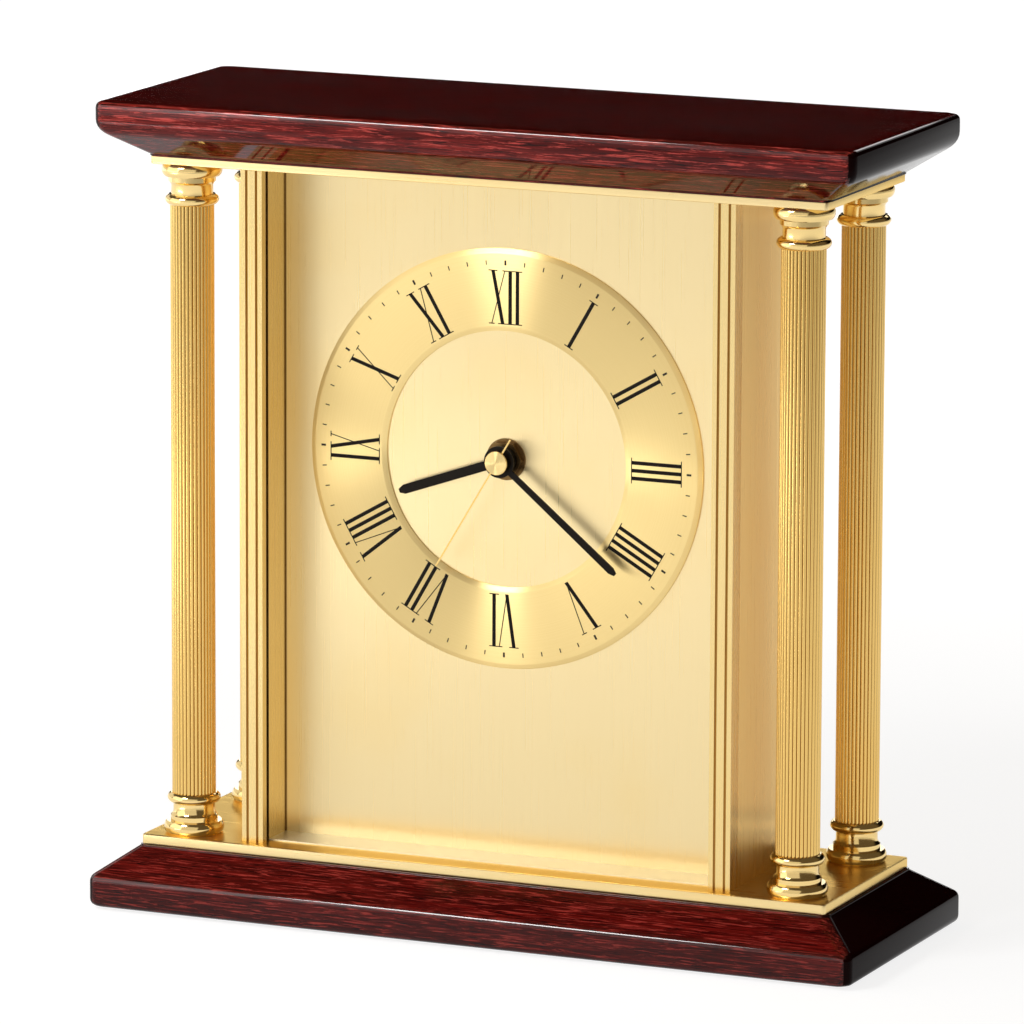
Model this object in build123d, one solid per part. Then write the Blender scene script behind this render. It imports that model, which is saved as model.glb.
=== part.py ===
from build123d import *
import math
import os

# Table clock with four reeded columns, in millimetres. +Z is up, the dial faces -Y, and the origin
# lies on the table under the middle of the base.

# Wooden base and crown, each with a sloping moulded edge towards the brass plate
base_width = 243.0
base_depth = 92.0
base_height = 17.8
base_edge_height = 9.0
base_ledge = 1.0
crown_setback = 2.2
crown_height = 16.9
crown_edge_height = 8.4
crown_ledge = 0.8
block_corner_radius = 3.2
block_edge_radius = 1.5
block_rim_chamfer = 0.5
block_outer_chamfer = 1.4

# Felt pads under the long bolts
pad_radius = 9.5
pad_thickness = 0.8

# Brass plates, set in from the outline of the wood
lower_plate_inset = 12.4
lower_plate_thickness = 3.0
upper_plate_inset = 12.7
upper_plate_thickness = 2.4

# Columns: a reeded tube between a turned base and the same turning upside down as a capital
column_height = 201.2
column_inset_x = 12.5
column_inset_y = 10.1
reed_count = 34
reed_crest_radius = 6.5
reed_depth = 0.36
reed_flat_share = 0.4
shaft_bore_radius = 4.8
torus_radius = 8.95
torus_seat_radius = 8.2
torus_height = 3.7
collar_radius = 7.0
collar_height = 1.6
neck_radius = 6.2
flare_height = 1.1
neck_height = 2.8
bead_radius = 7.95
bead_seat_radius = 6.9
bead_height = 3.0
spigot_length = 4.0
bulge_bands = 4

# Long bolts through base, columns and plates into the crown
bolt_radius = 2.0
bolt_passage_radius = 2.3
bolt_head_flats = 7.0
bolt_head_height = 3.2
bolt_thread_depth = 9.0
bolt_hole_spare = 1.5
counterbore_radius = 7.0
counterbore_depth = 6.5

# Case: four uprights, two side panels, a sill and the dial plate
case_side_setback = 31.1
case_setback = 4.1
upright_width = 6.8
groove_width = 0.75
groove_depth = 0.9
groove_spacing = 3.15
lip_thickness = 2.6
pane_slot_width = 1.7
pane_slot_depth = 3.5
strip_depth = 5.7
dial_setback = 16.0
dial_thickness = 1.0
dial_groove_depth = 2.3
dial_backing = 1.0
side_panel_thickness = 1.0
sill_thickness = 0.45
rear_upright_depth = 7.5
rear_rebate_depth = 4.0
tenon_width = 3.0
tenon_depth = 4.0

# Rear door on two pivot pins
door_thickness = 2.4
door_rear_inset = 0.5
door_end_gap = 0.4
door_stop_width = 2.0
door_stop_depth = 2.0
door_stop_gap = 0.1
door_panel_margin = 9.0
door_panel_recess = 0.5
door_side_gap = 0.2
pivot_radius = 1.0
pivot_inset = 1.4
pivot_depth = 4.0
pivot_reach = 2.0
door_knob_inset = 9.0
door_knob_radius = 4.2
door_knob_length = 8.0
door_knob_stem_radius = 1.6

# Dial and hands
dial_hole_radius = 4.1
ring_side_gap = 8.9
ring_top_gap = 20.4
ring_width = 24.3
ring_thickness = 1.2
ring_edge_height = 0.4
ring_bevel = 1.4
hand_washer_radius = 6.2
hand_washer_thickness = 0.4
hand_nut_flats = 10.0
hand_nut_thickness = 1.8
hour_angle = 250.8
hour_length = 34.6
hour_width = 2.8
hour_hub_radius = 4.2
minute_angle = 129.5
minute_tip_over_ring = 9.8
minute_root_width = 1.7
minute_tip_width = 2.2
minute_hub_radius = 4.7
second_angle = 211.0
second_tip_short_of_ring = 0.6
second_tail = 8.4
second_width = 0.5
second_thickness = 0.2
cap_radius = 3.45
cap_thickness = 1.1
cap_cone = 0.35
hand_thickness = 0.6
hand_point = 1.7
hand_gap = 0.7

# Quartz movement behind the dial
movement_depth = 14.8
movement_corner_radius = 4.0
movement_front_thickness = 1.2
movement_wall = 1.2
bush_radius = 4.0
bush_length = 3.3
second_arbor_radius = 0.5
minute_arbor_radius = 1.4
hour_pipe_radius = 2.4
wheel_arbor_radius = 0.4
setting_arbor_radius = 0.8
setting_knob_radius = 6.0
setting_knob_thickness = 4.0
setting_knob_gap = 0.7
wheel_thickness = 0.6
pinion_overhang = 0.1
layer_gap = 0.6
bearing_depth = 0.6
motion_post_radius = 0.6
rotor_magnet_radius = 1.5
rotor_magnet_length = 1.6
cell_radius = 7.25
cell_length = 50.5
cell_nub_radius = 2.75
cell_nub_length = 1.0
cell_drop = 19.0
contact_thickness = 0.4
contact_fold_width = 1.55
contact_width = 8.0
stator_thickness = 1.2
stator_width = 19.0
stator_bar_height = 7.0
stator_arm_width = 4.0
stator_arm_length = 13.0
stator_post_radius = 1.5
rotor_air_gap = 0.5
coil_radius = 3.2
coil_core_height = 3.0
coil_end_gap = 0.5
works_margin = 1.0
board_thickness = 1.0
board_width = 16.0
board_height = 16.0
crystal_radius = 1.0
crystal_length = 6.0

# Gear teeth: counts and modules of the train, and their common tooth form
cannon_teeth = 10
motion_teeth = 30
motion_pinion_teeth = 8
hour_teeth = 32
setting_teeth = 10
motion_module = 0.3
second_pinion_teeth = 8
third_teeth = 60
third_module = 0.25
third_pinion_teeth = 8
centre_teeth = 64
second_teeth = 48
intermediate_pinion_teeth = 8
second_module = 0.3
intermediate_teeth = 30
rotor_teeth = 6
rotor_module = 0.25
tooth_addendum = 0.8
tooth_dedendum = 1.15
tooth_tip_share = 0.05

# Fits
press_clearance = 0.02
running_clearance = 0.05
slot_clearance = 0.05

# Heights from the table upwards
base_bottom = pad_thickness
lower_plate_bottom = base_bottom + base_height
floor_z = lower_plate_bottom + lower_plate_thickness
ceiling_z = floor_z + column_height
crown_bottom = ceiling_z + upper_plate_thickness
crown_top = crown_bottom + crown_height

# Outlines and places seen from above
crown_width = base_width - 2 * crown_setback
crown_depth = base_depth - 2 * crown_setback
lower_plate_width = base_width - 2 * lower_plate_inset
lower_plate_depth = base_depth - 2 * lower_plate_inset
upper_plate_width = crown_width - 2 * upper_plate_inset
upper_plate_depth = crown_depth - 2 * upper_plate_inset
column_x = lower_plate_width / 2 - column_inset_x
column_y = lower_plate_depth / 2 - column_inset_y
column_places = {
    "front_left": (-column_x, -column_y),
    "front_right": (column_x, -column_y),
    "rear_left": (-column_x, column_y),
    "rear_right": (column_x, column_y),
}
case_half = lower_plate_width / 2 - case_side_setback
case_inner_half = case_half - upright_width
case_front = case_setback - lower_plate_depth / 2
case_rear = -case_front
dial_face = case_front + dial_setback
dial_back = dial_face + dial_thickness
front_upright_depth = dial_setback + dial_thickness + slot_clearance + dial_backing
panel_front = case_front + strip_depth
panel_rear = case_rear - rear_upright_depth + rear_rebate_depth
ring_outer_radius = case_inner_half - ring_side_gap
ring_inner_radius = ring_outer_radius - ring_width
dial_z = ceiling_z - ring_top_gap - ring_outer_radius

pieces = {}


def polar(radius, angle):
    """A point at an angle in radians, counted from the first axis towards the second."""
    return (radius * math.cos(angle), radius * math.sin(angle))


def slab(width, depth, z_low, z_high):
    """A plate centred on the origin in plan."""
    return Pos(0, 0, z_low) * extrude(Rectangle(width, depth), z_high - z_low)


def bar(x_low, x_high, y_low, y_high, z_low, z_high):
    """A box between its two corners."""
    sketch = Pos((x_low + x_high) / 2, (y_low + y_high) / 2) * Rectangle(x_high - x_low, y_high - y_low)
    return Pos(0, 0, z_low) * extrude(sketch, z_high - z_low)


def stud(radius, z_low, z_high, place):
    """A standing cylinder over a place in plan."""
    return Pos(place[0], place[1], z_low) * extrude(Circle(radius), z_high - z_low)


def facing(sketch, y_front, y_back, x=0.0, z=0.0):
    """A sketch drawn as seen from the front, solid from y_front back to y_back."""
    view = Plane(origin=(x, y_back, z), x_dir=(1, 0, 0), z_dir=(0, -1, 0))
    return extrude(view * sketch, y_back - y_front)


def turned(profile_points, x=0.0, z=0.0):
    """A turning about an axis along Y, from (radius, y) points."""
    return Pos(x, 0, z) * revolve(make_face(Polyline(*profile_points, close=True)), Axis.Y)


def moulded_block(width, depth, inset, ledge, edge_height, height):
    """A wooden block with an upright edge and a slope up to the ledge round its plate."""
    slope = inset - ledge
    sections = []
    for step_in, z in (
        (block_outer_chamfer, 0),
        (0, block_outer_chamfer),
        (0, edge_height),
        (slope, height - block_rim_chamfer),
        (slope + block_rim_chamfer, height),
    ):
        outline = RectangleRounded(width - 2 * step_in, depth - 2 * step_in, block_corner_radius)
        sections.append(Pos(0, 0, z) * outline)
    block = loft(sections, ruled=True)
    shoulder = [edge for edge in block.edges() if abs(edge.center().Z - edge_height) < block_rim_chamfer / 2]
    return fillet(shoulder, block_edge_radius)


# Wooden base: moulded, with passages and counterbores for the long bolts
base = moulded_block(base_width, base_depth, lower_plate_inset, base_ledge, base_edge_height, base_height)
base = Pos(0, 0, base_bottom) * base
for place in column_places.values():
    base -= stud(bolt_passage_radius, base_bottom, lower_plate_bottom, place)
    base -= stud(counterbore_radius, base_bottom, base_bottom + counterbore_depth, place)
pieces["base_block"] = base

# Wooden crown: the same moulding upside down, with blind holes that the bolts screw into
crown = moulded_block(
    crown_width, crown_depth, upper_plate_inset, crown_ledge, crown_edge_height, crown_height
)
crown = Pos(0, 0, crown_top) * mirror(crown, Plane.XY)
for place in column_places.values():
    hole_top = crown_bottom + bolt_thread_depth + bolt_hole_spare
    crown -= stud(bolt_radius + press_clearance, crown_bottom, hole_top, place)
pieces["crown_block"] = crown

# Felt pads, glued over the counterbores
pieces["foot_pads"] = Compound([stud(pad_radius, 0, base_bottom, place) for place in column_places.values()])

# Places of the uprights' tenons and of the door's pivot
front_tenon_y = (case_front + lip_thickness + pane_slot_width + dial_face) / 2
rear_tenon_y = case_rear - rear_upright_depth / 2
tenon_x = (case_inner_half + case_half - side_panel_thickness) / 2
tenon_places = [(side * tenon_x, y) for side in (-1, 1) for y in (front_tenon_y, rear_tenon_y)]
door_outer = case_rear - door_rear_inset
door_inner = door_outer - door_thickness
pivot_corner = math.hypot(pivot_inset, door_thickness / 2)
pivot_place = (-(case_inner_half - pivot_corner - door_side_gap), (door_outer + door_inner) / 2)


def tenon(place, z_low, z_high, spare=0.0):
    """A rectangular tenon over a place in plan, or with a spare the tool for its mortise."""
    half_width = tenon_width / 2 + spare
    half_depth = tenon_depth / 2 + spare
    x, y = place
    return bar(x - half_width, x + half_width, y - half_depth, y + half_depth, z_low, z_high)


def plate(width, depth, z_low, z_high):
    """A brass plate with bolt passages, the uprights' mortises and the door's pivot hole."""
    sheet = slab(width, depth, z_low, z_high)
    for place in column_places.values():
        sheet -= stud(bolt_passage_radius, z_low, z_high, place)
    for place in tenon_places:
        sheet -= tenon(place, z_low, z_high, press_clearance)
    return sheet - stud(pivot_radius + running_clearance, z_low, z_high, pivot_place)


pieces["lower_plate"] = plate(lower_plate_width, lower_plate_depth, lower_plate_bottom, floor_z)
pieces["upper_plate"] = plate(upper_plate_width, upper_plate_depth, ceiling_z, crown_bottom)

# Turned column base: torus, collar, flared neck and bead, with a spigot that centres the tube
collar_z = torus_height + collar_height
neck_z = collar_z + flare_height
bead_z = neck_z + neck_height
turning_height = bead_z + bead_height
turning_top = turning_height + spigot_length
spigot_radius = shaft_bore_radius - running_clearance


def bulge(seat_radius, crest_radius, z_low, z_high):
    """Points of a rounded moulding from seat to seat, its crest half way up."""
    points = []
    for k in range(bulge_bands + 1):
        rise = math.sin(math.pi * k / bulge_bands)
        share = (1 - math.cos(math.pi * k / bulge_bands)) / 2
        points.append((seat_radius + (crest_radius - seat_radius) * rise, z_low + (z_high - z_low) * share))
    return points


turning_outline = [
    (bolt_passage_radius, 0),
    *bulge(torus_seat_radius, torus_radius, 0, torus_height),
    (collar_radius, torus_height),
    (collar_radius, collar_z),
    (neck_radius, neck_z),
    (neck_radius, bead_z),
    *bulge(bead_seat_radius, bead_radius, bead_z, turning_height),
    (spigot_radius, turning_height),
    (spigot_radius, turning_top),
    (bolt_passage_radius, turning_top),
]
turning = revolve(Plane.XZ * make_face(Polyline(*turning_outline, close=True)), Axis.Z)
capital = mirror(turning, Plane.XY)
pieces["column_bases"] = Compound([Pos(x, y, floor_z) * turning for x, y in column_places.values()])
pieces["column_capitals"] = Compound([Pos(x, y, ceiling_z) * capital for x, y in column_places.values()])

# Reeded column shafts: a tube whose outside is a ring of blunt reeds
reed_step = 2 * math.pi / reed_count
reed_valley_radius = reed_crest_radius - reed_depth
reed_points = []
for k in range(reed_count):
    reed_points.append(polar(reed_valley_radius, k * reed_step))
    reed_points.append(polar(reed_crest_radius, (k + 0.5 - reed_flat_share / 2) * reed_step))
    reed_points.append(polar(reed_crest_radius, (k + 0.5 + reed_flat_share / 2) * reed_step))
shaft_section = make_face(Polyline(*reed_points, close=True)) - Circle(shaft_bore_radius)
shaft = extrude(shaft_section, column_height - 2 * turning_height)
for corner, (x, y) in column_places.items():
    pieces[f"column_shaft_{corner}"] = Pos(x, y, floor_z + turning_height) * shaft

# Long bolts: hexagon heads in the base's counterbores, ends screwed into the crown
head_top = base_bottom + counterbore_depth
bolt_head = extrude(RegularPolygon(bolt_head_flats / 2, 6, major_radius=False), bolt_head_height)
bolts = []
for x, y in column_places.values():
    shank = stud(bolt_radius, head_top, crown_bottom + bolt_thread_depth, (x, y))
    bolts.append(shank + Pos(x, y, head_top - bolt_head_height) * bolt_head)
pieces["tie_bolts"] = Compound(bolts)


def front_upright(side):
    """A front upright: grooved face, pane slot behind its lip, dial groove and panel rebate."""
    rear = case_front + front_upright_depth
    slot_front = case_front + lip_thickness
    section = bar(case_inner_half, case_half, case_front, rear, floor_z, ceiling_z)
    middle = (case_inner_half + case_half) / 2
    for offset in (-groove_spacing / 2, groove_spacing / 2):
        groove_x = middle + offset
        section -= bar(
            groove_x - groove_width / 2,
            groove_x + groove_width / 2,
            case_front,
            case_front + groove_depth,
            floor_z,
            ceiling_z,
        )
    section -= bar(
        case_inner_half,
        case_inner_half + pane_slot_depth,
        slot_front,
        slot_front + pane_slot_width,
        floor_z,
        ceiling_z,
    )
    section -= bar(
        case_inner_half,
        case_inner_half + dial_groove_depth + slot_clearance,
        dial_face,
        dial_back + slot_clearance,
        floor_z,
        ceiling_z,
    )
    section -= bar(case_half - side_panel_thickness, case_half, panel_front, rear, floor_z, ceiling_z)
    section += tenon((tenon_x, front_tenon_y), lower_plate_bottom, floor_z)
    section += tenon((tenon_x, front_tenon_y), ceiling_z, crown_bottom)
    return section if side > 0 else mirror(section, Plane.YZ)


def rear_upright(side):
    """A rear upright with the side panel's rebate, and on the right the lip that stops the door."""
    front = case_rear - rear_upright_depth
    section = bar(case_inner_half, case_half, front, case_rear, floor_z, ceiling_z)
    section -= bar(case_half - side_panel_thickness, case_half, front, panel_rear, floor_z, ceiling_z)
    section += tenon((tenon_x, rear_tenon_y), lower_plate_bottom, floor_z)
    section += tenon((tenon_x, rear_tenon_y), ceiling_z, crown_bottom)
    if side < 0:
        return mirror(section, Plane.YZ)
    lip_rear = door_inner - door_stop_gap
    lip_inner = case_inner_half - door_stop_width
    return section + bar(lip_inner, case_inner_half, lip_rear - door_stop_depth, lip_rear, floor_z, ceiling_z)


for side, name in ((-1, "left"), (1, "right")):
    pieces[f"front_upright_{name}"] = front_upright(side)
    pieces[f"rear_upright_{name}"] = rear_upright(side)
    panel_outer = side * case_half
    panel_inner = panel_outer - side * side_panel_thickness
    pieces[f"side_panel_{name}"] = bar(
        min(panel_inner, panel_outer), max(panel_inner, panel_outer), panel_front, panel_rear, floor_z, ceiling_z
    )

# Sill: thin sheet on the lower plate from the pane slot back to the dial
sill_front = case_front + lip_thickness + pane_slot_width
pieces["sill_plate"] = bar(
    -case_inner_half, case_inner_half, sill_front, dial_face, floor_z, floor_z + sill_thickness
)

# Dial plate: its upright edges run in the uprights' grooves
dial_half = case_inner_half + dial_groove_depth
dial = bar(-dial_half, dial_half, dial_face, dial_back, floor_z, ceiling_z)
pieces["dial_plate"] = dial - facing(Circle(dial_hole_radius), dial_face, dial_back, 0, dial_z)

# Chapter ring: flat, with a bevel along both edges
ring_edge = dial_face - ring_edge_height
ring_front = dial_face - ring_thickness
pieces["chapter_ring"] = turned(
    [
        (ring_inner_radius, dial_face),
        (ring_outer_radius, dial_face),
        (ring_outer_radius, ring_edge),
        (ring_outer_radius - ring_bevel, ring_front),
        (ring_inner_radius + ring_bevel, ring_front),
        (ring_inner_radius, ring_edge),
    ],
    0,
    dial_z,
)

# Rear door: a plate with a sunk panel, on two pivot pins, with a turned pull
door_left = pivot_place[0] - pivot_inset
door_right = case_inner_half - (pivot_corner - pivot_inset)
door_bottom = floor_z + door_end_gap
door_top = ceiling_z - door_end_gap
door = bar(door_left, door_right, door_inner, door_outer, door_bottom, door_top)
door -= bar(
    door_left + door_panel_margin,
    door_right - door_panel_margin - 2 * door_knob_inset,
    door_outer - door_panel_recess,
    door_outer,
    door_bottom + door_panel_margin,
    door_top - door_panel_margin,
)
pivots = []
for edge, side in ((door_bottom, -1), (door_top, 1)):
    inner_end = edge - side * pivot_depth
    outer_end = edge + side * (door_end_gap + pivot_reach)
    pivots.append(stud(pivot_radius, min(inner_end, outer_end), max(inner_end, outer_end), pivot_place))
    seat_low, seat_high = sorted((edge, inner_end))
    door -= stud(pivot_radius + press_clearance, seat_low, seat_high, pivot_place)
pieces["door_pivots"] = Compound(pivots)
knob_x = door_right - door_knob_inset
knob_z = (floor_z + ceiling_z) / 2
door -= facing(Circle(door_knob_stem_radius + press_clearance), door_inner, door_outer, knob_x, knob_z)
pieces["rear_door"] = door
pieces["door_knob"] = turned(
    [
        (0, door_inner),
        (door_knob_stem_radius, door_inner),
        (door_knob_stem_radius, door_outer),
        (door_knob_radius * 0.7, door_outer),
        (door_knob_radius * 0.5, door_outer + door_knob_length * 0.4),
        (door_knob_radius, door_outer + door_knob_length * 0.65),
        (door_knob_radius, door_outer + door_knob_length * 0.85),
        (door_knob_radius * 0.6, door_outer + door_knob_length),
        (0, door_outer + door_knob_length),
    ],
    knob_x,
    knob_z,
)

# Movement layers, from the dial backwards
front_plate_back = dial_back + movement_front_thickness
movement_back = dial_back + movement_depth
rear_wall_front = movement_back - movement_wall
hour_layer = front_plate_back + layer_gap / 2
motion_layer = hour_layer + wheel_thickness + layer_gap / 2
centre_layer = motion_layer + wheel_thickness + layer_gap
third_layer = centre_layer + wheel_thickness + layer_gap
second_layer = third_layer + wheel_thickness + layer_gap
intermediate_layer = second_layer + wheel_thickness + layer_gap
rotor_layer = intermediate_layer + wheel_thickness + layer_gap
bearing_front = front_plate_back - bearing_depth
bearing_back = rear_wall_front + bearing_depth

# Centres of the wheels as (x, height over the dial's centre), each at its pair's centre distance
motion_distance = motion_module * (cannon_teeth + motion_teeth) / 2
hour_module = 2 * motion_distance / (motion_pinion_teeth + hour_teeth)
setting_distance = motion_module * (motion_teeth + setting_teeth) / 2
third_distance = third_module * (second_pinion_teeth + third_teeth) / 2
centre_module = 2 * third_distance / (third_pinion_teeth + centre_teeth)
intermediate_distance = second_module * (second_teeth + intermediate_pinion_teeth) / 2
rotor_distance = rotor_module * (intermediate_teeth + rotor_teeth) / 2
motion_direction = 0.0
setting_direction = 0.0
third_direction = math.radians(60)
intermediate_direction = math.radians(180)
rotor_direction = math.radians(120)


def beyond(place, distance, direction):
    """The place at a distance and direction from another place."""
    dx, dz = polar(distance, direction)
    return (place[0] + dx, place[1] + dz)


centre_place = (0.0, 0.0)
motion_place = beyond(centre_place, motion_distance, motion_direction)
setting_place = beyond(motion_place, setting_distance, setting_direction)
third_place = beyond(centre_place, third_distance, third_direction)
intermediate_place = beyond(centre_place, intermediate_distance, intermediate_direction)
rotor_place = beyond(intermediate_place, rotor_distance, rotor_direction)


def gear(teeth, module, phase, y_front, y_back, place):
    """A spur gear with straight-flanked teeth, one of them centred on phase."""
    pitch_radius = teeth * module / 2
    tip = pitch_radius + tooth_addendum * module
    root = pitch_radius - tooth_dedendum * module
    step = 2 * math.pi / teeth
    points = []
    for k in range(teeth):
        angle = phase + k * step
        points.append(polar(tip, angle - tooth_tip_share * step))
        points.append(polar(tip, angle + tooth_tip_share * step))
        points.append(polar(root, angle + step / 2))
    return facing(make_face(Polyline(*points, close=True)), y_front, y_back, place[0], dial_z + place[1])


def arbor(radius, y_front, y_back, place):
    """A round arbor, or with a larger radius the tool for its hole."""
    return facing(Circle(radius), y_front, y_back, place[0], dial_z + place[1])


def meshed(direction, own_teeth):
    """The phase that puts a tooth gap on the line back to a mate whose tooth points along direction."""
    return direction + math.pi + math.pi / own_teeth


# Hands' stack, from the dial forwards
washer_front = dial_face - hand_washer_thickness
nut_front = washer_front - hand_nut_thickness
bush_front = dial_back - bush_length
hour_back = min(bush_front, nut_front) - hand_gap
hour_front = hour_back - hand_thickness
minute_back = hour_front - 2 * hand_gap
minute_front = minute_back - hand_thickness
second_back = minute_front - 2 * hand_gap
cap_front = second_back - cap_thickness

# Movement front plate with its threaded bush, bearings and motion-work post
hollow_half = cell_length / 2 + contact_fold_width
movement_size = 2 * (hollow_half + movement_wall)
movement_outline = RectangleRounded(movement_size, movement_size, movement_corner_radius)
front_plate = facing(movement_outline, dial_back, front_plate_back, 0, dial_z)
front_plate += arbor(bush_radius, bush_front, dial_back, centre_place)
front_plate -= arbor(hour_pipe_radius + running_clearance, bush_front, front_plate_back, centre_place)
for place, radius in (
    (third_place, wheel_arbor_radius),
    (intermediate_place, wheel_arbor_radius),
    (rotor_place, wheel_arbor_radius),
    (setting_place, setting_arbor_radius),
):
    front_plate -= arbor(radius + running_clearance, bearing_front, front_plate_back, place)
motion_post_back = motion_layer + wheel_thickness + pinion_overhang
pieces["movement_front"] = front_plate + arbor(
    motion_post_radius, front_plate_back, motion_post_back, motion_place
)

# Movement rear case: a tub with bearings, stator posts and an open cell bay
case_tub = facing(movement_outline, front_plate_back, movement_back, 0, dial_z)
bay_top = -cell_drop + cell_radius + slot_clearance
bay_bottom = -cell_drop - cell_radius - slot_clearance
works_floor = bay_top + movement_wall
case_tub -= bar(
    -hollow_half, hollow_half, front_plate_back, rear_wall_front, dial_z + works_floor, dial_z + hollow_half
)
case_tub -= bar(
    -hollow_half, hollow_half, front_plate_back, movement_back, dial_z + bay_bottom, dial_z + bay_top
)
stator_front = rotor_layer + (rotor_magnet_length - stator_thickness) / 2
stator_back = stator_front + stator_thickness
stator_left = works_margin - hollow_half
stator_right = stator_left + stator_width
stator_low = rotor_place[1] - stator_bar_height / 2
stator_shoulder = rotor_place[1] + stator_bar_height / 2
stator_top = stator_shoulder + stator_arm_length
for post_x in (stator_left + stator_arm_width / 2, stator_right - stator_arm_width / 2):
    case_tub += arbor(stator_post_radius, stator_back, rear_wall_front, (post_x, stator_shoulder))
for place, radius in (
    (centre_place, second_arbor_radius),
    (third_place, wheel_arbor_radius),
    (intermediate_place, wheel_arbor_radius),
    (rotor_place, wheel_arbor_radius),
):
    case_tub -= arbor(radius + running_clearance, rear_wall_front, bearing_back, place)
case_tub -= arbor(setting_arbor_radius + running_clearance, rear_wall_front, movement_back, setting_place)
pieces["movement_case"] = case_tub

# Washer and nut that clamp the movement to the dial plate
pieces["hand_washer"] = facing(
    Circle(hand_washer_radius) - Circle(bush_radius + running_clearance), washer_front, dial_face, 0, dial_z
)
nut_outline = RegularPolygon(hand_nut_flats / 2, 6, major_radius=False) - Circle(bush_radius + running_clearance)
pieces["hand_nut"] = facing(nut_outline, nut_front, washer_front, 0, dial_z)

# Motion work: minute arbor with the cannon pinion, motion wheel, hour wheel and setting knob
cannon_phase = motion_direction
motion_phase = meshed(motion_direction, motion_teeth)
motion_pinion_phase = motion_direction + math.pi
hour_phase = motion_direction + math.pi / hour_teeth
setting_turn = (setting_direction - motion_phase) * motion_teeth / setting_teeth
setting_phase = meshed(setting_direction, setting_teeth) + setting_turn
motion_back = motion_layer + wheel_thickness

cannon_front = motion_layer - pinion_overhang
cannon_back = motion_back + pinion_overhang
centre_wheel_back = centre_layer + wheel_thickness
minute_arbor = arbor(minute_arbor_radius, minute_front, cannon_front, centre_place)
minute_arbor += gear(cannon_teeth, motion_module, cannon_phase, cannon_front, cannon_back, centre_place)
minute_arbor += arbor(minute_arbor_radius, cannon_back, centre_wheel_back + layer_gap / 2, centre_place)
second_passage = second_arbor_radius + running_clearance
minute_arbor -= arbor(second_passage, minute_front, centre_wheel_back + layer_gap, centre_place)
pieces["minute_arbor"] = minute_arbor

hour_wheel = gear(hour_teeth, hour_module, hour_phase, hour_layer, hour_layer + wheel_thickness, centre_place)
hour_wheel += arbor(hour_pipe_radius, hour_front, hour_layer + wheel_thickness, centre_place)
pipe_bore = minute_arbor_radius + running_clearance
pieces["hour_wheel"] = hour_wheel - arbor(pipe_bore, hour_front, hour_layer + wheel_thickness, centre_place)

motion_wheel = gear(motion_teeth, motion_module, motion_phase, motion_layer, motion_back, motion_place)
motion_wheel += gear(
    motion_pinion_teeth, hour_module, motion_pinion_phase, hour_layer - pinion_overhang, motion_layer, motion_place
)
post_bore = motion_post_radius + running_clearance
pieces["motion_wheel"] = motion_wheel - arbor(post_bore, hour_layer - pinion_overhang, motion_back, motion_place)

knob_front = movement_back + setting_knob_gap
setting_knob = arbor(setting_arbor_radius, bearing_front + running_clearance, knob_front, setting_place)
setting_knob += gear(setting_teeth, motion_module, setting_phase, motion_layer, motion_back, setting_place)
pieces["setting_knob"] = setting_knob + arbor(
    setting_knob_radius, knob_front, knob_front + setting_knob_thickness, setting_place
)

# Going train: centre wheel on the minute arbor, third wheel, second wheel, intermediate wheel, rotor
second_pinion_phase = third_direction
third_phase = meshed(third_direction, third_teeth)
third_pinion_phase = third_direction + math.pi
centre_phase = third_direction + math.pi / centre_teeth
second_phase = intermediate_direction + math.pi / second_teeth
intermediate_pinion_phase = intermediate_direction + math.pi
intermediate_phase = rotor_direction
rotor_phase = meshed(rotor_direction, rotor_teeth)

centre_wheel = gear(centre_teeth, centre_module, centre_phase, centre_layer, centre_wheel_back, centre_place)
pieces["centre_wheel"] = centre_wheel - arbor(pipe_bore, centre_layer, centre_wheel_back, centre_place)


def train_wheel(place, wheel, pinion, arbor_front, arbor_back, arbor_radius):
    """A wheel and its pinion on one arbor; each is (teeth, module, phase, layer)."""
    solid = arbor(arbor_radius, arbor_front, arbor_back, place)
    for (teeth, module, phase, layer), spare in ((wheel, 0.0), (pinion, pinion_overhang)):
        solid += gear(teeth, module, phase, layer - spare, layer + wheel_thickness + spare, place)
    return solid


pivot_front = bearing_front + running_clearance
pivot_back = bearing_back - running_clearance
pieces["third_wheel"] = train_wheel(
    third_place,
    (third_teeth, third_module, third_phase, third_layer),
    (third_pinion_teeth, centre_module, third_pinion_phase, centre_layer),
    pivot_front,
    pivot_back,
    wheel_arbor_radius,
)
pieces["second_wheel"] = train_wheel(
    centre_place,
    (second_teeth, second_module, second_phase, second_layer),
    (second_pinion_teeth, third_module, second_pinion_phase, third_layer),
    second_back - cap_thickness / 2,
    pivot_back,
    second_arbor_radius,
)
pieces["intermediate_wheel"] = train_wheel(
    intermediate_place,
    (intermediate_teeth, rotor_module, intermediate_phase, intermediate_layer),
    (intermediate_pinion_teeth, second_module, intermediate_pinion_phase, second_layer),
    pivot_front,
    pivot_back,
    wheel_arbor_radius,
)
rotor = arbor(wheel_arbor_radius, pivot_front, pivot_back, rotor_place)
rotor += gear(
    rotor_teeth, rotor_module, rotor_phase, intermediate_layer, intermediate_layer + wheel_thickness, rotor_place
)
rotor_magnet_back = rotor_layer + rotor_magnet_length
pieces["rotor"] = rotor + arbor(rotor_magnet_radius, rotor_layer, rotor_magnet_back, rotor_place)

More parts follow.
